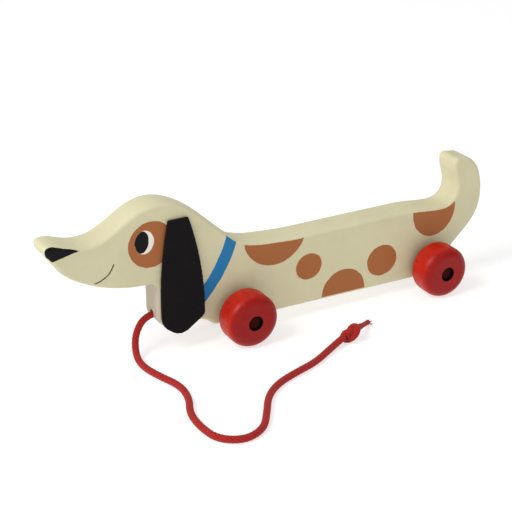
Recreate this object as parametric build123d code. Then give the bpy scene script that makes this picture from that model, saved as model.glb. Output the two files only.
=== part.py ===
from build123d import *
import math
import os

# Wooden pull-along sausage dog: a flat board cut to the dog's outline, four fat wheels on
# two dowel axles, felt ears glued to the sides of the head, and a pull cord in the chest.
# Frame, in millimetres: +X towards the nose, +Y the dog's left side, +Z up.
# The origin is on the floor, under the middle of the dog without its cord.

# ---------------------------------------------------------------- driving dimensions
BOARD_T = 20.0          # thickness of the board
BOARD_ROUND = 2.5       # sanded rounding along both outlines
NOSE_X = 161.0          # the nose tip; the tail reaches as far the other way
NOSE_Z = 86.0           # height of the nose's foremost point
BACK_Z = 60.0           # the level back
CHEST_X = 89.0          # the chest's front face
CHEST_Z = 17.0          # the underside of the chest
CHIN_Z = 49.4           # the head's underside where it meets the chest
CHEST_CORNER_R = 9.0
NECK_FOOT = (32.0, 66.0)  # where the neck runs out into the back
CREASE_R = 4.0          # easing of the creases under the chin and at the neck's foot
BELLY_FRONT = (46.0, 10.4)
BELLY_REAR = (-110.0, 8.2)

WHEEL_D = 36.0
WHEEL_W = 21.0
WHEEL_ROUND = 6.5
FRONT_AXLE_X = 32.0
REAR_AXLE_X = -118.0
AXLE_Z = WHEEL_D / 2
AXLE_D = 8.0
AXLE_CHAMFER = 0.6
AXLE_PLAY = 0.1         # radial running clearance of an axle in the board
HUB_D = 10.0            # recess in a wheel's outer face, round the end of the axle
HUB_DEPTH = 3.0
AXLE_SUNK = 1.5         # an axle's end lies this far inside the wheel's outer face
WASHER_D = 15.0
WASHER_T = 2.0
SIDE_PLAY = 0.5         # gap between a washer and the board

EAR_T = 2.0
EAR_GAP = 0.15          # the glue line between an ear and the head
EAR_TOP_Z = 90.8
EAR_TOP_REAR_X = 67.5
EAR_TOP_FRONT_X = 81.2
EAR_TIP = (74.4, 10.2)  # the corner that the ear's rounded tip is drawn into
RIGHT_EAR_SETBACK = 2.0  # the right ear is glued on this much further back

CORD_D = 4.6
CORD_Z = 25.0           # height of the cord's hole in the chest
CORD_HOLE_D = 5.0
POCKET_D = 13.0         # pocket under the chest that holds the stop knot
POCKET_X = 74.0
POCKET_TOP_Z = 32.0
STOP_KNOT_D = 10.2
END_KNOT_D = 11.0
END_KNOT_L = 12.5
KNOT_FACE_D = 5.0       # flat of a knot's end, where the cord goes in
KNOT_TAIL_D = 3.8
BEND_SHARE = 0.45       # share of the shorter run that each of the cord's arcs takes up
FLOOR_CORD_Z = CORD_D / 2 + 0.1

# The cord's route: out of the chest, down to the floor, then in loose curves beside the dog.
CORD_ROUTE = [
    (79.0, 0.0, CORD_Z),
    (93.0, 0.0, CORD_Z),
    (101.2, 0.2, 13.6),
    (105.0, 8.5, 3.4),
    (107.0, 22.5, FLOOR_CORD_Z),
    (103.3, 38.5, FLOOR_CORD_Z),
    (97.0, 55.5, FLOOR_CORD_Z),
    (99.0, 72.0, FLOOR_CORD_Z),
    (106.8, 88.0, FLOOR_CORD_Z),
    (107.9, 105.5, FLOOR_CORD_Z),
    (105.0, 120.5, FLOOR_CORD_Z),
    (91.9, 128.7, FLOOR_CORD_Z),
    (77.0, 123.2, FLOOR_CORD_Z),
    (67.3, 109.5, FLOOR_CORD_Z),
    (56.8, 92.6, FLOOR_CORD_Z),
    (43.8, 82.2, FLOOR_CORD_Z),
    (27.3, 75.9, FLOOR_CORD_Z),
    (10.0, 70.6, FLOOR_CORD_Z),
    (-7.0, 60.5, FLOOR_CORD_Z + 0.2),
    (-20.2, 55.2, 4.9),
]
KNOT_TAIL_END = (-48.5, 41.0, 2.3)


# ---------------------------------------------------------------- body
def board_face():
    """The dog's outline on the XZ plane, drawn from the chin round by the nose and the tail."""
    level = (-1.0, 0.0)
    belly_way = (BELLY_FRONT[0] - BELLY_REAR[0], BELLY_FRONT[1] - BELLY_REAR[1])
    underside = Spline(
        (CHEST_X, CHIN_Z),
        (103.0, 49.9),
        (117.0, 52.3),
        (131.0, 57.1),
        (143.4, 63.7),
        (152.6, 71.9),
        (158.8, 81.0),
        (NOSE_X, NOSE_Z),
        tangents=[(1.0, 0.0), (0.0, 1.0)],
    )
    nose_tip = TangentArc(underside @ 1, (158.6, 89.0), tangent=underside % 1)
    head_top = Spline(
        nose_tip @ 1,
        (146.0, 86.6),
        (133.0, 84.6),
        (119.0, 88.9),
        (104.0, 98.1),
        (88.0, 102.4),
        (71.0, 97.7),
        (48.0, 80.4),
        NECK_FOOT,
        tangents=[nose_tip % 1, (-1.0, -0.75)],
    )
    withers = Spline(
        NECK_FOOT,
        (19.0, 62.5),
        (4.0, 61.0),
        (-16.0, BACK_Z),
        tangents=[(-1.0, -0.35), level],
    )
    back = Line(withers @ 1, (-96.0, BACK_Z))
    tail_front = Spline(
        back @ 1,
        (-112.0, 59.0),
        (-125.0, 57.8),
        (-133.4, 58.9),
        (-138.2, 62.8),
        (-139.8, 69.0),
        (-138.8, 76.0),
        (-137.0, 82.0),
        (-136.6, 87.0),
        tangents=[level, (0.0, 1.0)],
    )
    tail_corner = TangentArc(tail_front @ 1, (-141.2, 90.5), tangent=tail_front % 1)
    tail_outer = Spline(
        tail_corner @ 1,
        (-148.6, 89.4),
        (-154.8, 84.6),
        (-158.8, 77.4),
        (-160.6, 70.0),
        (-NOSE_X, 62.0),
        tangents=[tail_corner % 1, (0.0, -1.0)],
    )
    rump = Spline(
        tail_outer @ 1,
        (-159.8, 53.0),
        (-156.0, 44.6),
        (-148.8, 36.4),
        (-141.0, 29.0),
        (-128.0, 15.0),
        BELLY_REAR,
        tangents=[(0.0, -1.0), belly_way],
    )
    belly = Line(BELLY_REAR, BELLY_FRONT)
    breast = Spline(BELLY_FRONT, (53.5, 14.4), (63.0, CHEST_Z), tangents=[belly_way, (1.0, 0.0)])
    corner_x = CHEST_X - CHEST_CORNER_R
    chest_under = Line(breast @ 1, (corner_x, CHEST_Z))
    chest_corner = CenterArc((corner_x, CHEST_Z + CHEST_CORNER_R), CHEST_CORNER_R, -90, 90)
    chest_front = Line(chest_corner @ 1, (CHEST_X, CHIN_Z))
    lines = [underside, nose_tip, head_top, withers, back, tail_front, tail_corner]
    lines += [tail_outer, rump, belly, breast, chest_under, chest_corner, chest_front]
    return make_face(lines)


def board():
    outline = board_face()
    creases = [(CHEST_X, CHIN_Z), NECK_FOOT]
    sharp = [v for v in outline.vertices() if any(math.dist((v.X, v.Y), at) < 0.01 for at in creases)]
    outline = fillet(sharp, radius=CREASE_R)
    slab = extrude(Plane.XZ * outline, amount=BOARD_T / 2, both=True)
    rims = slab.edges().filter_by(lambda e: abs(abs(e.center().Y) - BOARD_T / 2) < 0.01)
    slab = fillet(rims, radius=BOARD_ROUND)
    for x in (FRONT_AXLE_X, REAR_AXLE_X):
        slab -= across(x, AXLE_Z) * Cylinder(AXLE_D / 2 + AXLE_PLAY, 2 * BOARD_T)
    bore_l = 2 * (CHEST_X - POCKET_X)
    slab -= Pos(POCKET_X + bore_l / 2, 0, CORD_Z) * Rot(0, 90, 0) * Cylinder(CORD_HOLE_D / 2, bore_l)
    slab -= Pos(POCKET_X, 0, POCKET_TOP_Z / 2) * Cylinder(POCKET_D / 2, POCKET_TOP_Z)
    return slab


# ---------------------------------------------------------------- running gear
def across(x, z, y=0.0):
    """A place whose local Z runs along the axles, towards the dog's right."""
    return Pos(x, y, z) * Rot(90, 0, 0)


WHEEL_IN_Y = BOARD_T / 2 + SIDE_PLAY + WASHER_T
WHEEL_MID_Y = WHEEL_IN_Y + WHEEL_W / 2
WHEEL_OUT_Y = WHEEL_IN_Y + WHEEL_W


def wheel(x, side):
    """A turned wheel with heavily rounded rims, bored for its axle and recessed at the hub."""
    blank = Cylinder(WHEEL_D / 2, WHEEL_W)
    blank = fillet(blank.edges().filter_by(GeomType.CIRCLE), radius=WHEEL_ROUND)
    turned = across(x, AXLE_Z, side * WHEEL_MID_Y) * blank
    turned -= across(x, AXLE_Z, side * WHEEL_MID_Y) * Cylinder(AXLE_D / 2, 2 * WHEEL_W)
    recess_y = side * (WHEEL_OUT_Y - HUB_DEPTH / 2)
    turned -= across(x, AXLE_Z, recess_y) * Cylinder(HUB_D / 2, HUB_DEPTH)
    return turned


def axle(x):
    length = 2 * (WHEEL_OUT_Y - AXLE_SUNK)
    dowel = Cylinder(AXLE_D / 2, length)
    dowel = chamfer(dowel.edges().filter_by(GeomType.CIRCLE), length=AXLE_CHAMFER)
    return across(x, AXLE_Z) * dowel


def washer(x, side):
    middle_y = side * (WHEEL_IN_Y - WASHER_T / 2)
    ring = Cylinder(WASHER_D / 2, WASHER_T) - Cylinder(AXLE_D / 2, 2 * WASHER_T)
    return across(x, AXLE_Z, middle_y) * ring


# ---------------------------------------------------------------- ears
def ear(side):
    """A flat tongue of felt, cut straight at the top and hanging past the chest."""
    rear_side = ThreePointArc((EAR_TOP_REAR_X, EAR_TOP_Z), (60.6, 64.0), (57.4, 32.0))
    skirt = [rear_side @ 1, (57.4, 22.3), EAR_TIP, (87.7, 19.9), (87.7, 32.0)]
    tip = FilletPolyline(*skirt, radius=[5.0, 10.0, 12.0])
    front_side = ThreePointArc(tip @ 1, (86.1, 61.0), (EAR_TOP_FRONT_X, EAR_TOP_Z))
    top = Line(front_side @ 1, rear_side @ 0)
    tongue = Plane.XZ * make_face([rear_side, tip, front_side, top])
    inner_y = BOARD_T / 2 + EAR_GAP
    sheet = Pos(0, inner_y + EAR_T, 0) * extrude(tongue, amount=EAR_T)
    return sheet if side > 0 else Pos(-RIGHT_EAR_SETBACK, 0, 0) * mirror(sheet, Plane.XZ)


# ---------------------------------------------------------------- cord
def bend_radii(route):
    """Each corner's radius: the arc takes up BEND_SHARE of the shorter of its two runs."""
    radii = []
    for before, at, after in zip(route, route[1:], route[2:]):
        run_in = Vector(*at) - Vector(*before)
        run_out = Vector(*after) - Vector(*at)
        turn = math.radians(run_in.get_angle(run_out))
        radii.append(BEND_SHARE * min(run_in.length, run_out.length) / math.tan(turn / 2))
    return radii


def cord():
    radii = bend_radii(CORD_ROUTE)
    print("cord radii:", [round(r, 1) for r in radii])
    path = FilletPolyline(*CORD_ROUTE, radius=radii)
    start = Plane(origin=path @ 0, z_dir=path % 0)
    tube = sweep(start * Circle(CORD_D / 2), path=path)
    expected = math.pi * CORD_D**2 / 4 * path.length
    print("cord length:", round(path.length, 1), "volume ratio:", round(tube.volume / expected, 4))
    return tube


def knot_barrel(face_at, away, width, length):
    """A knot's outer shape: a rounded barrel with one flat end at face_at."""
    blank = Cylinder(width / 2, length)
    blank = fillet(blank.edges().filter_by(GeomType.CIRCLE), radius=(width - KNOT_FACE_D) / 2)
    return Plane(origin=face_at, z_dir=away) * Pos(0, 0, length / 2) * blank


def stop_knot():
    return knot_barrel(CORD_ROUTE[0], (-1, 0, 0), STOP_KNOT_D, STOP_KNOT_D)


def end_knot():
    """The knot at the cord's free end, with the short tail that stands out of it."""
    end = Vector(*CORD_ROUTE[-1])
    along = (end - Vector(*CORD_ROUTE[-2])).normalized()
    middle = end + along * (END_KNOT_L / 2)
    reach = Vector(*KNOT_TAIL_END) - middle
    tail = Plane(origin=middle, z_dir=reach) * Pos(0, 0, reach.length / 2)
    barrel = knot_barrel(end, along, END_KNOT_D, END_KNOT_L)
    return barrel + tail * Cylinder(KNOT_TAIL_D / 2, reach.length)


# ---------------------------------------------------------------- nodes
nodes = {
    "body_board": board(),
    "left_ear": ear(1),
    "right_ear": ear(-1),
    "pull_cord": cord(),
    "cord_stop_knot": stop_knot(),
    "cord_end_knot": end_knot(),
}
for end_name, axle_x in (("front", FRONT_AXLE_X), ("rear", REAR_AXLE_X)):
    nodes[f"{end_name}_axle"] = axle(axle_x)
    for side_name, side in (("left", 1), ("right", -1)):
        nodes[f"{end_name}_{side_name}_wheel"] = wheel(axle_x, side)
        nodes[f"{end_name}_{side_name}_washer"] = washer(axle_x, side)

os.makedirs("parts", exist_ok=True)
for name, shape in nodes.items():
    shape.label = name
    export_step(shape, f"parts/{name}.step")
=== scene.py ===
import math
import bpy
import numpy as np
from mathutils import Matrix, Vector


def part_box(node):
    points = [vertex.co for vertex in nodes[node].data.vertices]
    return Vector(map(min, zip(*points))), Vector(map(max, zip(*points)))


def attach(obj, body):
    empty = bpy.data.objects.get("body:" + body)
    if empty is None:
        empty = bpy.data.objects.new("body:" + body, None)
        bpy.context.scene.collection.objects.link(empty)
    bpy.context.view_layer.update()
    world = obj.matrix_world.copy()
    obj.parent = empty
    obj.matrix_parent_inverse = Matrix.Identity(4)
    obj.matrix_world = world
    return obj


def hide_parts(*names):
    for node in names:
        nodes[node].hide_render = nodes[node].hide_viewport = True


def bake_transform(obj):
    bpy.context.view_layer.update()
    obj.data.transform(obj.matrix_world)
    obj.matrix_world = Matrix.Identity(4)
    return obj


# A painted wooden sausage dog on wheels, with felt ears and a knotted pull cord.
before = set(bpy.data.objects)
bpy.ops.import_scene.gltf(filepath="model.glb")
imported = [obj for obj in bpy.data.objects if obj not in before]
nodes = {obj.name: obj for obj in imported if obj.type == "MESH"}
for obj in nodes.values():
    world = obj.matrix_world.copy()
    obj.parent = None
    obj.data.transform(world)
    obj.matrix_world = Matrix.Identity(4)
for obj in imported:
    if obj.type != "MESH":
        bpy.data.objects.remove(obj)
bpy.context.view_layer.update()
scene = bpy.context.scene
MM = 0.001


def middle(node):
    low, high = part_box(node)
    return (Vector(low) + Vector(high)) / 2


def linear(red, green, blue):
    """A shader colour from the 0-255 values that a picture shows."""
    shares = [value / 255 for value in (red, green, blue)]
    return [s / 12.92 if s <= 0.04045 else ((s + 0.055) / 1.055) ** 2.4 for s in shares] + [1.0]


# ---------------------------------------------------------------- camera, floor and light
CAMERA_PLACE = (0.4090, 0.7080, 0.4174)
CAMERA_TARGET = (0.0134, 0.0, 0.0478)
CAMERA_LENS_MM = 96.3
CAMERA_SENSOR_MM = 36
LAMP_TARGET = (0, 0, 0.04)
# Each lamp's name, place, diameter and power.
LAMPS = [
    ("key", (1.4, 0.2, 1.5), 0.9, 25.0),
    ("front", (0.5, 1.3, 0.8), 1.2, 1.2),
]
SKY_STRENGTH = 0.56
FLOOR_WIDTH = 8
FLOOR_GLOW = 0.64
BACKDROP_RADIUS = 3.6
BACKDROP_HEIGHT = 8
BACKDROP_GLOW = 0.97


def add_camera():
    data = bpy.data.cameras.new("camera")
    data.lens = CAMERA_LENS_MM
    data.sensor_width = CAMERA_SENSOR_MM
    camera = bpy.data.objects.new("camera", data)
    scene.collection.objects.link(camera)
    aim(camera, CAMERA_PLACE, CAMERA_TARGET)
    scene.camera = camera


def aim(thing, place, target):
    """Puts a camera or a lamp at place, looking at target."""
    thing.location = place
    thing.rotation_euler = (Vector(target) - thing.location).to_track_quat("-Z", "Y").to_euler()


def add_area_light(name, place, size, power):
    data = bpy.data.lights.new(name, "AREA")
    data.shape = "DISK"
    data.size = size
    data.energy = power
    lamp = bpy.data.objects.new(name, data)
    scene.collection.objects.link(lamp)
    aim(lamp, place, LAMP_TARGET)


def add_studio():
    world = bpy.data.worlds.new("studio")
    world.use_nodes = True
    sky = world.node_tree.nodes["Background"]
    sky.inputs["Color"].default_value = (1, 1, 1, 1)
    sky.inputs["Strength"].default_value = SKY_STRENGTH
    scene.world = world
    for lamp in LAMPS:
        add_area_light(*lamp)
    add_floor()
    add_backdrop()
    scene.view_settings.view_transform = "Standard"


def add_floor():
    bpy.ops.mesh.primitive_plane_add(size=FLOOR_WIDTH)
    floor = bpy.context.object
    floor.name = "floor"
    tree = Tree("floor_paper")
    tree.feed("Base Color", linear(178, 178, 178))
    tree.feed("Roughness", 0.9)
    tree.feed("Emission Color", (1, 1, 1, 1))
    tree.feed("Emission Strength", FLOOR_GLOW)
    tree.dress(floor)


def add_backdrop():
    """A pale wall round the floor, which only the camera sees: it keeps no light from the toy."""
    bpy.ops.mesh.primitive_cylinder_add(
        vertices=96,
        radius=BACKDROP_RADIUS,
        depth=BACKDROP_HEIGHT,
        end_fill_type="NOTHING",
    )
    backdrop = bpy.context.object
    backdrop.name = "backdrop"
    backdrop.visible_diffuse = False
    backdrop.visible_glossy = False
    backdrop.visible_transmission = False
    backdrop.visible_shadow = False
    tree = Tree("backdrop_paper")
    tree.feed("Base Color", (0, 0, 0, 1))
    tree.feed("Specular IOR Level", 0.0)
    tree.feed("Emission Color", (1, 1, 1, 1))
    tree.feed("Emission Strength", BACKDROP_GLOW)
    tree.dress(backdrop)


# ---------------------------------------------------------------- materials as formulas
class Field:
    """A number that varies over a surface. Arithmetic on fields builds Math nodes."""

    def __init__(self, tree, socket):
        self.tree = tree
        self.socket = socket

    def apply(self, operation, *others):
        return self.tree.math(operation, self, *others)

    def __add__(self, other):
        return self.apply("ADD", other)

    def __sub__(self, other):
        return self.apply("SUBTRACT", other)

    def __mul__(self, other):
        return self.apply("MULTIPLY", other)

    def __truediv__(self, other):
        return self.apply("DIVIDE", other)

    def __rsub__(self, other):
        return self.tree.math("SUBTRACT", other, self)

    __radd__ = __add__

    def size(self):
        return self.apply("ABSOLUTE")

    def least(self, other):
        return self.apply("MINIMUM", other)

    def most(self, other):
        return self.apply("MAXIMUM", other)

    def step(self, low, high):
        """Rises smoothly from 0 to 1 as the field goes from low to high."""
        return self.tree.span(self, low, high)


class Tree:
    """One material: its node tree, and the place of a surface point in millimetres."""

    def __init__(self, name):
        self.material = bpy.data.materials.new(name)
        self.material.use_nodes = True
        self.nodes = self.material.node_tree.nodes
        self.links = self.material.node_tree.links
        self.shader = self.nodes["Principled BSDF"]
        place = self.nodes.new("ShaderNodeTexCoord").outputs["Object"]
        scaled = self.nodes.new("ShaderNodeVectorMath")
        scaled.operation = "SCALE"
        scaled.inputs["Scale"].default_value = 1 / MM
        self.links.new(place, scaled.inputs[0])
        self.place = scaled.outputs[0]
        self.x, self.y, self.z = self.split(self.place)

    def put(self, socket, value):
        if isinstance(value, Field):
            value = value.socket
        if isinstance(value, bpy.types.NodeSocket):
            self.links.new(value, socket)
        else:
            socket.default_value = value

    def feed(self, name, value):
        self.put(self.shader.inputs[name], value)

    def split(self, vector):
        node = self.nodes.new("ShaderNodeSeparateXYZ")
        self.links.new(vector, node.inputs[0])
        return [Field(self, output) for output in node.outputs]

    def math(self, operation, *values):
        node = self.nodes.new("ShaderNodeMath")
        node.operation = operation
        for socket, value in zip(node.inputs, values):
            self.put(socket, value)
        return Field(self, node.outputs[0])

    def span(self, value, low, high):
        node = self.nodes.new("ShaderNodeMapRange")
        node.interpolation_type = "SMOOTHSTEP"
        self.put(node.inputs["Value"], value)
        node.inputs["From Min"].default_value = low
        node.inputs["From Max"].default_value = high
        return Field(self, node.outputs[0])

    def noise(self, scale, detail=3.0, roughness=0.5, stretch=(1, 1, 1), shift=0.0):
        """Noise from 0 to 1, its grain about 1 / scale millimetres and drawn out by 1 / stretch."""
        move = self.nodes.new("ShaderNodeVectorMath")
        move.operation = "MULTIPLY_ADD"
        self.links.new(self.place, move.inputs[0])
        move.inputs[1].default_value = stretch
        move.inputs[2].default_value = (shift, shift, shift)
        node = self.nodes.new("ShaderNodeTexNoise")
        self.links.new(move.outputs[0], node.inputs["Vector"])
        node.inputs["Scale"].default_value = scale
        node.inputs["Detail"].default_value = detail
        node.inputs["Roughness"].default_value = roughness
        return Field(self, node.outputs["Fac"])

    def attribute(self, name):
        node = self.nodes.new("ShaderNodeAttribute")
        node.attribute_name = name
        return Field(self, node.outputs["Fac"])

    def blend(self, share, under, over):
        """The colour under, going to over as share goes from 0 to 1."""
        node = self.nodes.new("ShaderNodeMix")
        node.data_type = "RGBA"
        self.put(node.inputs["Factor"], share)
        self.put(node.inputs["A"], under)
        self.put(node.inputs["B"], over)
        return node.outputs["Result"]

    def bump(self, height, depth_mm):
        node = self.nodes.new("ShaderNodeBump")
        node.inputs["Strength"].default_value = 1.0
        node.inputs["Distance"].default_value = depth_mm * MM
        self.put(node.inputs["Height"], height)
        self.feed("Normal", node.outputs[0])

    def dress(self, *objects):
        for thing in objects:
            thing.data.materials.clear()
            thing.data.materials.append(self.material)


# ---------------------------------------------------------------- the painted board
CREAM = linear(213, 207, 171)
# The darker, greyer cream of the painted shade on the chest front under the chin.
CHEST_SHADE = linear(193, 181, 160)
BROWN = linear(165, 101, 57)
BLUE = linear(34, 119, 170)
BLACK = linear(6, 5, 9)
WHITE = linear(236, 230, 216)
EDGE_SOFTNESS = 0.25    # how far the edge of a painted shape blends
EDGE_WOBBLE = 0.9       # how far the hand-painted edges wander
# The painted shapes are in millimetres. Ovals: centre x and z, and half the width and height.
SPOTS = [
    (4.8, 66.6, 23.2, 22.9),
    (-21.0, 36.6, 9.9, 9.3),
    (-48.5, 11.5, 17.0, 16.8),
    (-79.1, 28.1, 11.9, 11.2),
    (-121.0, 57.0, 17.6, 19.4),
]
EYE_PATCH = (92.4, 77.0, 15.3, 15.3)
EYE = (96.9, 79.3, 6.45, 7.8)
PUPIL = (98.6, 79.6, 4.8, 7.3)
PUPIL_TILT = 6
# Rings: centre x and z, and the inner and outer radius.
COLLAR = (124.1, 97.8, 87.8, 96.6)
SMILE = (131.8, 74.3, 14.7, 15.6)
SMILE_TOP = 69.4
SMILE_FRONT = 130.8
# The nose is a wedge: its top and bottom lines meet at its back corner.
NOSE_TOP = (161.0, 90.6)
NOSE_BACK = (139.0, 83.1)
NOSE_BOTTOM = (154.4, 79.6)
# The painted shapes fade out between these distances from the board's middle plane.
FLAT = (9.86, 9.95)
COLLAR_WRAP = (9.3, 9.5)
NOSE_WRAP = (8.8, 9.1)


class Side:
    """Flat shapes painted on the board's side: fields of depth inside a shape, in millimetres."""

    def __init__(self, tree):
        self.tree = tree
        wobble_x = (tree.noise(0.22, 2) - 0.5) * EDGE_WOBBLE
        wobble_z = (tree.noise(0.22, 2, shift=40) - 0.5) * EDGE_WOBBLE
        self.x = tree.x + wobble_x
        self.z = tree.z + wobble_z

    def oval(self, x, z, half_x, half_z, tilt_deg=0.0):
        cosine = math.cos(math.radians(tilt_deg))
        sine = math.sin(math.radians(tilt_deg))
        dx = self.x - x
        dz = self.z - z
        across = (dx * cosine + dz * sine) / half_x
        up = (dz * cosine - dx * sine) / half_z
        reach = (across * across + up * up).apply("SQRT")
        return (1 - reach) * min(half_x, half_z)

    def beyond(self, start, end):
        """Depth to the left of the line from start to end."""
        run = Vector((end[0] - start[0], end[1] - start[1])).normalized()
        return (self.z - start[1]) * run.x - (self.x - start[0]) * run.y

    def ring(self, x, z, inner, outer):
        dx = self.x - x
        dz = self.z - z
        reach = (dx * dx + dz * dz).apply("SQRT")
        return (reach - inner).least(outer - reach)

    def mask(self, depth):
        return self.tree.span(depth, -EDGE_SOFTNESS / 2, EDGE_SOFTNESS / 2)


def paint_board():
    tree = Tree("painted_board")
    side = Side(tree)
    # The spots stay on the flat of the side; the collar and the nose go further round its edges.
    flat = tree.span(tree.y.size(), *FLAT)
    collar_wrap = tree.span(tree.y.size(), *COLLAR_WRAP)
    nose_wrap = tree.span(tree.y.size(), *NOSE_WRAP)
    spots = side.oval(*SPOTS[0])
    for spot in SPOTS[1:]:
        spots = spots.most(side.oval(*spot))
    patch = side.oval(*EYE_PATCH)
    eye = side.oval(*EYE)
    pupil = side.oval(*PUPIL, PUPIL_TILT)
    pupil = pupil.least(eye)
    collar = side.ring(*COLLAR)
    nose = side.beyond(NOSE_TOP, NOSE_BACK)
    nose = nose.least(side.beyond(NOSE_BACK, NOSE_BOTTOM))
    smile = side.ring(*SMILE)
    smile = smile.least(SMILE_TOP - side.z)
    smile = smile.least(SMILE_FRONT - side.x)

    grain = tree.noise(0.9, 4, 0.6, stretch=(0.05, 1, 1))
    cloud = tree.noise(0.045, 3, 0.55)
    brushed = tree.noise(2.2, 3, 0.6, stretch=(0.12, 1, 1), shift=7)
    cream = tree.blend(cloud.step(0.3, 0.75), CREAM, linear(208, 201, 166))
    cream = tree.blend(grain.step(0.55, 0.8) * 0.35, cream, linear(196, 186, 149))
    # Painted shade: the chest front below the chin is tinted darker and greyer, standing in for the
    # chin's shadow there.
    chest_shade = tree.x.step(86.0, 88.6) * (1 - tree.z.step(46.0, 50.0))
    cream = tree.blend(chest_shade, cream, CHEST_SHADE)
    colour = tree.blend(side.mask(spots.most(patch)) * flat, cream, BROWN)
    colour = tree.blend(side.mask(collar) * collar_wrap, colour, BLUE)
    colour = tree.blend(side.mask(eye) * flat, colour, WHITE)
    colour = tree.blend(side.mask(pupil) * flat, colour, BLACK)
    colour = tree.blend(side.mask(nose) * nose_wrap, colour, BLACK)
    colour = tree.blend(side.mask(smile) * flat * 0.9, colour, linear(48, 38, 30))
    # Handling rubs the rounded edges: small worn flecks show a warmer undercoat.
    rounded = tree.span(tree.y.size(), 7.6, 8.6) * (1 - tree.span(tree.y.size(), 9.7, 9.95))
    flecks = tree.noise(0.55, 5, 0.7, shift=90).step(0.63, 0.7)
    colour = tree.blend(rounded * flecks * 0.4, colour, linear(190, 166, 122))
    tree.feed("Base Color", colour)
    tree.feed("Roughness", 0.42 + brushed * 0.16)
    tree.feed("Specular IOR Level", 0.16)
    painted = spots.most(patch).most(collar).most(nose)
    film = side.mask(painted) * flat
    tree.bump(grain * 0.5 + brushed * 0.35 + film * 0.6, 0.07)
    tree.dress(nodes["body_board"])


# ---------------------------------------------------------------- wheels, axles and washers
WHEEL_RADIUS = 18.0
HUB_RADIUS = 5.0


def around(tree, axle_node):
    """Distance from an axle's line, and the offset from it along the dog, in millimetres."""
    centre = middle(axle_node) / MM
    dx = tree.x - centre.x
    dz = tree.z - centre.z
    return (dx * dx + dz * dz).apply("SQRT"), dx


def lacquer_wheels(end):
    tree = Tree(f"{end}_red_lacquer")
    reach, _ = around(tree, f"{end}_axle")
    middle_y = middle(f"{end}_left_wheel").y / MM
    face = (tree.y.size() - middle_y).size().step(6.0, 9.6)
    turned = tree.math("SINE", reach * 6.0 + tree.noise(0.3, 2) * 5.0)
    grain = tree.noise(0.8, 4, 0.6, stretch=(1, 0.08, 1))
    streaks = tree.noise(0.33, 4, 0.6, stretch=(1, 0.25, 1), shift=17)
    pooled = tree.noise(0.12, 3, 0.5)
    # Painted shade: the wheel's faces get a darker red than its tread, which faces the light.
    red = tree.blend(face, linear(184, 31, 10), linear(148, 11, 7))
    # Painted shade: each face darkens towards its rim.
    red = tree.blend(reach.step(13.0, WHEEL_RADIUS) * face * 0.5, red, linear(118, 10, 8))
    red = tree.blend(pooled.step(0.4, 0.65) * 0.35, red, linear(150, 14, 9))
    red = tree.blend(grain.step(0.52, 0.72) * (0.5 - face * 0.3), red, linear(120, 12, 8))
    # Lighter streaks, strongest on the tread: lacquer brush marks and painted highlight.
    red = tree.blend(streaks.step(0.52, 0.68) * (0.4 - face * 0.28), red, linear(206, 44, 20))
    # Painted shade: the wall of the hub recess is near black, standing in for the shade inside the
    # recess.
    red = tree.blend(1 - reach.step(HUB_RADIUS, HUB_RADIUS + 0.4), red, linear(26, 8, 6))
    worn = tree.noise(0.9, 5, 0.72, shift=31).step(0.66, 0.72)
    scuffs = worn * reach.step(WHEEL_RADIUS - 2.5, WHEEL_RADIUS - 0.1)
    red = tree.blend(scuffs * 0.4, red, linear(112, 16, 12))
    tree.feed("Base Color", red)
    tree.feed("Roughness", 0.34 + grain * 0.14)
    tree.feed("Specular IOR Level", 0.22)
    tree.bump(turned * 0.1 + grain * 0.5, 0.07)
    tree.dress(*(nodes[f"{end}_{side}_wheel"] for side in ("left", "right")))


def stain_axle(end):
    tree = Tree(f"{end}_dark_dowel")
    reach, dx = around(tree, f"{end}_axle")
    rings = tree.math("SINE", (reach + dx * 0.4 + tree.noise(0.5, 3) * 1.6) * 7.5)
    pores = tree.noise(3.0, 3, 0.7, stretch=(1, 0.05, 1)).step(0.55, 0.7)
    brown = tree.blend(rings * 0.5 + 0.5, linear(70, 17, 6), linear(50, 9, 4))
    brown = tree.blend(pores * 0.6, brown, linear(14, 5, 4))
    tree.feed("Base Color", brown)
    tree.feed("Roughness", 0.7)
    tree.feed("Specular IOR Level", 0.04)
    tree.bump(rings * 0.2 - pores * 0.6, 0.1)
    tree.dress(nodes[f"{end}_axle"])


def sand_washers(end):
    tree = Tree(f"{end}_plain_wood")
    reach, _ = around(tree, f"{end}_axle")
    grain = tree.noise(1.1, 4, 0.6, stretch=(0.1, 1, 1))
    wood = tree.blend(grain.step(0.35, 0.7), linear(214, 182, 138), linear(184, 146, 100))
    tree.feed("Base Color", wood)
    tree.feed("Roughness", 0.6)
    tree.bump(grain + tree.math("SINE", reach * 5.0) * 0.1, 0.08)
    tree.dress(*(nodes[f"{end}_{side}_washer"] for side in ("left", "right")))


# ---------------------------------------------------------------- ears
# In millimetres.
EAR_VOXEL = 0.45
EAR_CURL = 0.8          # how far the tip stands off
EAR_WAVE = 0.3


def felt():
    tree = Tree("black_felt")
    fibres = tree.noise(1.6, 6, 0.75)
    fuzz = tree.noise(5.5, 3, 0.7, stretch=(1, 1, 0.35), shift=12)
    black = tree.blend(fibres.step(0.4, 0.7), linear(20, 18, 19), linear(29, 27, 28))
    black = tree.blend(fuzz.step(0.6, 0.75) * 0.35, black, linear(44, 41, 42))
    tree.feed("Base Color", black)
    tree.feed("Roughness", 0.95)
    tree.feed("Specular IOR Level", 0.06)
    tree.feed("Sheen Weight", 0.04)
    tree.feed("Sheen Roughness", 0.5)
    tree.bump(fibres + fuzz * 0.6, 0.22)
    return tree


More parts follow.
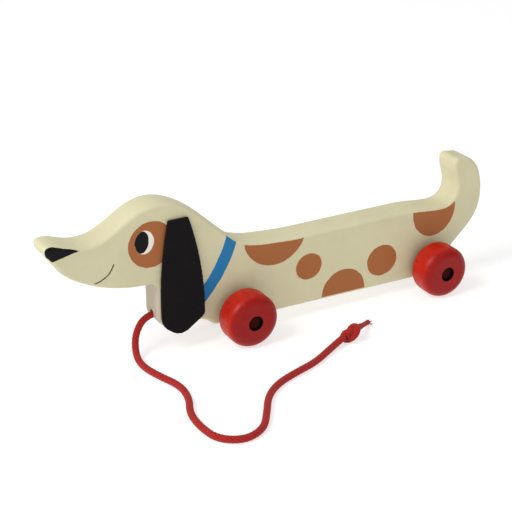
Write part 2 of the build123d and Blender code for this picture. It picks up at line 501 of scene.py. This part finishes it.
def add_ear(name, side, tree):
    """The felt flap: as thick as its solid, with softened cut edges and a slight natural wave."""
    solid = nodes[name]
    ear = bpy.data.objects.new(f"{name}_felt", solid.data.copy())
    scene.collection.objects.link(ear)
    remesh = ear.modifiers.new("even", "REMESH")
    remesh.mode = "VOXEL"
    remesh.voxel_size = EAR_VOXEL * MM
    soften = ear.modifiers.new("soften", "SMOOTH")
    soften.iterations = 2
    settle(ear)
    low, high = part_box(name)
    hang = high[2] - low[2]
    for vertex in ear.data.vertices:
        down = (high[2] - vertex.co.z) / hang
        across = (vertex.co.x - low[0]) / (high[0] - low[0])
        curl = EAR_CURL * down**3 + EAR_WAVE * down * math.sin(2.4 + 5.0 * across)
        vertex.co.y += side * curl * MM
    ear.data.polygons.foreach_set("use_smooth", [True] * len(ear.data.polygons))
    tree.dress(ear)
    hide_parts(name)
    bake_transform(ear)


def settle(thing):
    """Applies a piece's modifiers to its mesh."""
    ready = thing.evaluated_get(bpy.context.evaluated_depsgraph_get())
    mesh = bpy.data.meshes.new_from_object(ready)
    thing.modifiers.clear()
    thing.data = mesh


# ---------------------------------------------------------------- the cord
# Diameters and lengths are in millimetres.
CORD_D = 4.6
TAIL_D = 3.4
KNOT_D = 4.4
STRANDS = 7
CORD_SPACING = 0.35     # between the rings of the cord's mesh
KNOT_SPACING = 0.3
TIGHTNESS = 0.54        # how closely a knot's turns press into each other
KNOT_REACH = 5.8        # from a knot's middle to where its line ends
KNOT_SHIFT = (-0.5, 1.6, 0.1)   # from the cord's end to where the end knot's line begins
END_KNOT_ROLL = 128
STOP_KNOT_ROLL = 70
TAIL_END = (-48.5, 41.0, 2.3)
YARNS = 26
YARN_LENGTH = 4.2
YARN_RADIUS = 0.30
YARN_LOWEST = 0.35      # the lowest that a yarn's middle goes above the floor
FLOOR_Z = 2.4
# The same route as the cord's solid, in millimetres: out of the chest and round on the floor.
ROUTE = [
    (79.0, 0.0, 25.0),
    (93.0, 0.0, 25.0),
    (101.2, 0.2, 13.6),
    (105.0, 8.5, 3.4),
    (107.0, 22.5, FLOOR_Z),
    (103.3, 38.5, FLOOR_Z),
    (97.0, 55.5, FLOOR_Z),
    (99.0, 72.0, FLOOR_Z),
    (106.8, 88.0, FLOOR_Z),
    (107.9, 105.5, FLOOR_Z),
    (105.0, 120.5, FLOOR_Z),
    (91.9, 128.7, FLOOR_Z),
    (77.0, 123.2, FLOOR_Z),
    (67.3, 109.5, FLOOR_Z),
    (56.8, 92.6, FLOOR_Z),
    (43.8, 82.2, FLOOR_Z),
    (27.3, 75.9, FLOOR_Z),
    (10.0, 70.6, FLOOR_Z),
    (-7.0, 60.5, FLOOR_Z + 0.2),
    (-20.2, 55.2, 4.9),
]


def spline_points(route, spacing):
    """Points every spacing millimetres along the smooth curve that the route controls."""
    curve = bpy.data.curves.new("route", "CURVE")
    curve.dimensions = "3D"
    spline = curve.splines.new("NURBS")
    spline.points.add(len(route) - 1)
    for point, place in zip(spline.points, route):
        point.co = (*place, 1.0)
    spline.order_u = 3
    spline.use_endpoint_u = True
    spline.resolution_u = 24
    holder = bpy.data.objects.new("route", curve)
    mesh = bpy.data.meshes.new_from_object(holder)
    line = np.array([vertex.co for vertex in mesh.vertices])
    bpy.data.objects.remove(holder)
    bpy.data.curves.remove(curve)
    bpy.data.meshes.remove(mesh)
    return evenly(line, spacing)


def evenly(line, spacing):
    """The same line with its points spacing apart, as nearly as its length allows."""
    runs = np.linalg.norm(np.diff(line, axis=0), axis=1)
    along = np.concatenate([[0], np.cumsum(runs)])
    stops = np.linspace(0, along[-1], round(along[-1] / spacing) + 1)
    return np.stack([np.interp(stops, along, line[:, axis]) for axis in range(3)], axis=1)


def ring_frames(line):
    """Two directions across the line at each point, carried along it without twisting."""
    ahead = np.gradient(line, axis=0)
    ahead /= np.linalg.norm(ahead, axis=1, keepdims=True)
    side = np.cross(ahead[0], (0.1, 0.2, 1.0))
    sides = []
    for direction in ahead:
        side = side - direction * (side @ direction)
        side = side / np.linalg.norm(side)
        sides.append(side)
    sides = np.array(sides)
    return sides, np.cross(ahead, sides)


def braid(line, diameter, thin=None):
    """Vertices, faces and strand heights of a round braid along a line, in millimetres."""
    corners = STRANDS * 8
    turn = np.arange(corners) / corners
    along = np.concatenate([[0], np.cumsum(np.linalg.norm(np.diff(line, axis=0), axis=1))])
    cell = math.pi * diameter / STRANDS * 1.25
    left = STRANDS * turn[None, :] + along[:, None] / cell
    right = STRANDS * turn[None, :] - along[:, None] / cell
    over = (np.floor(left) + np.floor(right)) % 2 == 0
    left = np.mod(left, 1) - 0.5
    right = np.mod(right, 1) - 0.5
    across = np.where(over, left, right)
    run = np.where(over, right, left)
    round_across = np.sqrt(np.maximum(0, 1 - (1.9 * across) ** 2))
    height = round_across * (0.55 + 0.45 * np.cos(math.pi * run))
    radius = diameter / 2 * (0.84 + 0.16 * height)
    if thin is not None:
        radius = radius * thin[:, None]
    sides, ups = ring_frames(line)
    angle = 2 * math.pi * turn
    cosine = np.cos(angle)[None, :, None]
    sine = np.sin(angle)[None, :, None]
    ring = cosine * sides[:, None] + sine * ups[:, None]
    places = (line[:, None] + ring * radius[:, :, None]).reshape(-1, 3)
    faces = []
    for row in range(len(line) - 1):
        for column in range(corners):
            after = (column + 1) % corners
            low = row * corners
            high = low + corners
            faces.append((low + column, low + after, high + after, high + column))
    last = (len(line) - 1) * corners
    faces.append(tuple(reversed(range(corners))))
    faces.append(tuple(range(last, last + corners)))
    return places, faces, height.ravel()


def mesh_piece(name, places, faces, height, tree):
    mesh = bpy.data.meshes.new(name)
    mesh.from_pydata((places * MM).tolist(), [], faces)
    strand = mesh.attributes.new("strand", "FLOAT", "POINT")
    strand.data.foreach_set("value", height.astype(np.float32))
    mesh.polygons.foreach_set("use_smooth", [True] * len(mesh.polygons))
    piece = bpy.data.objects.new(name, mesh)
    scene.collection.objects.link(piece)
    tree.dress(piece)
    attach(piece, "dog")
    return piece


def red_cotton():
    tree = Tree("red_cotton")
    strand = tree.attribute("strand")
    fibres = tree.noise(4.5, 4, 0.7)
    dye = tree.noise(0.25, 3, 0.6, shift=5)
    # Painted shade: the cord is darker where its strands sink, standing in for shade in the braid's
    # grooves.
    red = tree.blend(strand.step(0.2, 0.9), linear(66, 8, 9), linear(186, 36, 28))
    red = tree.blend(dye.step(0.35, 0.7) * 0.4, red, linear(150, 24, 24))
    red = tree.blend(fibres.step(0.55, 0.75) * 0.3, red, linear(204, 76, 62))
    tree.feed("Base Color", red)
    tree.feed("Roughness", 0.85)
    tree.feed("Specular IOR Level", 0.25)
    tree.feed("Sheen Weight", 0.1)
    tree.feed("Sheen Roughness", 0.5)
    tree.bump(fibres, 0.1)
    return tree


def overhand(diameter):
    """An overhand knot's centre line along Z.

    A loose knot is a chain of beads. Its ends are drawn apart, a bit at a time, and after each
    bit the chain is smoothed, touching turns push each other off, and the beads close up again.
    """
    beads = 81
    step = 0.32 * diameter
    t = np.linspace(-2.05, 2.05, beads)
    loose = np.stack([t**3 - 3 * t, t**4 - 4 * t**2 + 2, 0.42 * (t**5 - 10 * t)], axis=1)
    total = np.linalg.norm(np.diff(loose, axis=0), axis=1).sum()
    line = evenly(loose * step * (beads - 1) / total, step)[:beads]
    beads = len(line)
    index = np.arange(beads)
    apart = np.abs(index[:, None] - index[None]) > 4
    draw = np.array([0, 0, 0.06 * diameter])
    for _ in range(400):
        line[0] -= draw
        line[-1] += draw
        line[[0, -1], :2] *= 0.8
        for _ in range(6):
            line[1:-1] += 0.04 * ((line[:-2] + line[2:]) / 2 - line[1:-1])
            gap = line[:, None] - line[None]
            distance = np.linalg.norm(gap, axis=2) + 1e-9
            touching = apart & (distance < diameter)
            push = np.where(touching, (diameter - distance) / distance / 2, 0)
            share = np.sqrt(np.maximum(touching.sum(axis=1), 1))
            line += 0.8 * (push[:, :, None] * gap).sum(axis=1) / share[:, None]
            for first in (0, 1):
                here = index[first:-1:2]
                run = line[here + 1] - line[here]
                length = np.linalg.norm(run, axis=1, keepdims=True)
                mend = run * (1 - step / length) / 2
                line[here] += mend
                line[here + 1] -= mend
    return line


def knot_line(diameter, start, ahead, roll_deg, before, after):
    """A tight knot's line, which runs along ahead from start.

    It begins before mm short of the knot's middle and ends after mm past it.
    """
    line = overhand(TIGHTNESS * diameter)
    near = (line[:, 2] > -before) & (line[:, 2] < after)
    in_a_turn = np.hypot(line[:, 0], line[:, 1]) > diameter / 3
    kept = line[near | in_a_turn]
    roll = Matrix.Rotation(math.radians(roll_deg), 3, "Z")
    turn = Vector(ahead).to_track_quat("Z", "Y").to_matrix() @ roll
    centre = np.array(start) + np.array(ahead) * before
    return kept @ np.array(turn).T + centre


def fray(end, ahead):
    """Loose yarn ends that spread from a cut cord: thin tapered tubes."""
    generator = np.random.default_rng(4)
    corners = 5
    rings = 7
    places = []
    faces = []
    ahead = np.array(ahead) / np.linalg.norm(ahead)
    flat = np.cross(ahead, (0, 0, 1.0))
    flat /= np.linalg.norm(flat)
    rise = np.cross(flat, ahead)
    for _ in range(YARNS):
        angle = generator.uniform(0, 2 * math.pi)
        out = flat * math.cos(angle) + rise * math.sin(angle)
        root = end + out * TAIL_D * 0.36 * math.sqrt(generator.uniform(0.05, 1)) - ahead * 1.2
        spread = out * generator.uniform(0.1, 0.55) + flat * generator.uniform(-0.25, 0.25)
        reach = YARN_LENGTH * generator.uniform(0.55, 1.15)
        stops = np.linspace(0, 1, rings)
        line = root + (ahead + spread * stops[:, None]) * (reach * stops)[:, None]
        line[:, 2] = np.maximum(line[:, 2] - 1.2 * stops**2, YARN_LOWEST)
        sides, ups = ring_frames(line)
        for row, stop in enumerate(stops):
            radius = YARN_RADIUS * (1 - 0.65 * stop)
            for corner in range(corners):
                turn = 2 * math.pi * corner / corners
                spoke = sides[row] * math.cos(turn) + ups[row] * math.sin(turn)
                places.append(line[row] + radius * spoke)
        base = len(places) - rings * corners
        for row in range(rings - 1):
            for corner in range(corners):
                after = (corner + 1) % corners
                low = base + row * corners
                high = low + corners
                faces.append((low + corner, low + after, high + after, high + corner))
        last = len(places) - corners
        faces.append(tuple(last + corner for corner in range(corners)))
    return np.array(places), faces, generator.uniform(0.3, 1.0, len(places))


def add_cord():
    tree = red_cotton()
    line = spline_points(ROUTE, CORD_SPACING)
    cord = mesh_piece("pull_cord_braid", *braid(line, CORD_D), tree)
    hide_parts("pull_cord")
    knot = add_end_knot(line, tree)
    stop = add_stop_knot(line, tree)


def add_end_knot(line, tree):
    """The knot at the cord's free end, with its thinner tail and frayed yarns."""
    ahead = line[-1] - line[-6]
    ahead /= np.linalg.norm(ahead)
    start = line[-1] + np.array(KNOT_SHIFT)
    tied = knot_line(KNOT_D, start, ahead, END_KNOT_ROLL, KNOT_REACH, KNOT_REACH)
    tail_end = np.array(TAIL_END)
    halfway = (tied[-1] + tail_end) / 2
    tail = spline_points([tuple(p) for p in [*tied[::2], halfway, tail_end]], KNOT_SPACING)
    # The tail is pulled thin from where it leaves the knot.
    left = np.linalg.norm(tail - tail_end, axis=1)
    thin = np.interp(left, [10.0, 16.0], [TAIL_D / KNOT_D, 1.0])
    places, faces, height = braid(tail, KNOT_D, thin)
    yarn_places, yarn_faces, yarn_height = fray(tail_end, tail[-1] - tail[-8])
    offset = len(places)
    faces += [tuple(offset + corner for corner in face) for face in yarn_faces]
    knot = mesh_piece(
        "end_knot_braid",
        np.concatenate([places, yarn_places]),
        faces,
        np.concatenate([height, yarn_height]),
        tree,
    )
    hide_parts("cord_end_knot")
    return knot


def add_stop_knot(line, tree):
    """The knot in the pocket under the chest, which keeps the cord in its hole."""
    start = line[0] + np.array([1.0, 0, 0])
    inner = knot_line(TAIL_D, start, np.array([-1.0, 0, 0]), STOP_KNOT_ROLL, 5.6, KNOT_REACH)
    inner = spline_points([tuple(p) for p in inner[::2]], KNOT_SPACING)
    stop = mesh_piece("stop_knot_braid", *braid(inner, TAIL_D), tree)
    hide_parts("cord_stop_knot")
    return stop


add_camera()
add_studio()
add_cord()
paint_board()
for end in ("front", "rear"):
    lacquer_wheels(end)
    stain_axle(end)
    sand_washers(end)
ear_felt = felt()
add_ear("left_ear", 1, ear_felt)
add_ear("right_ear", -1, ear_felt)
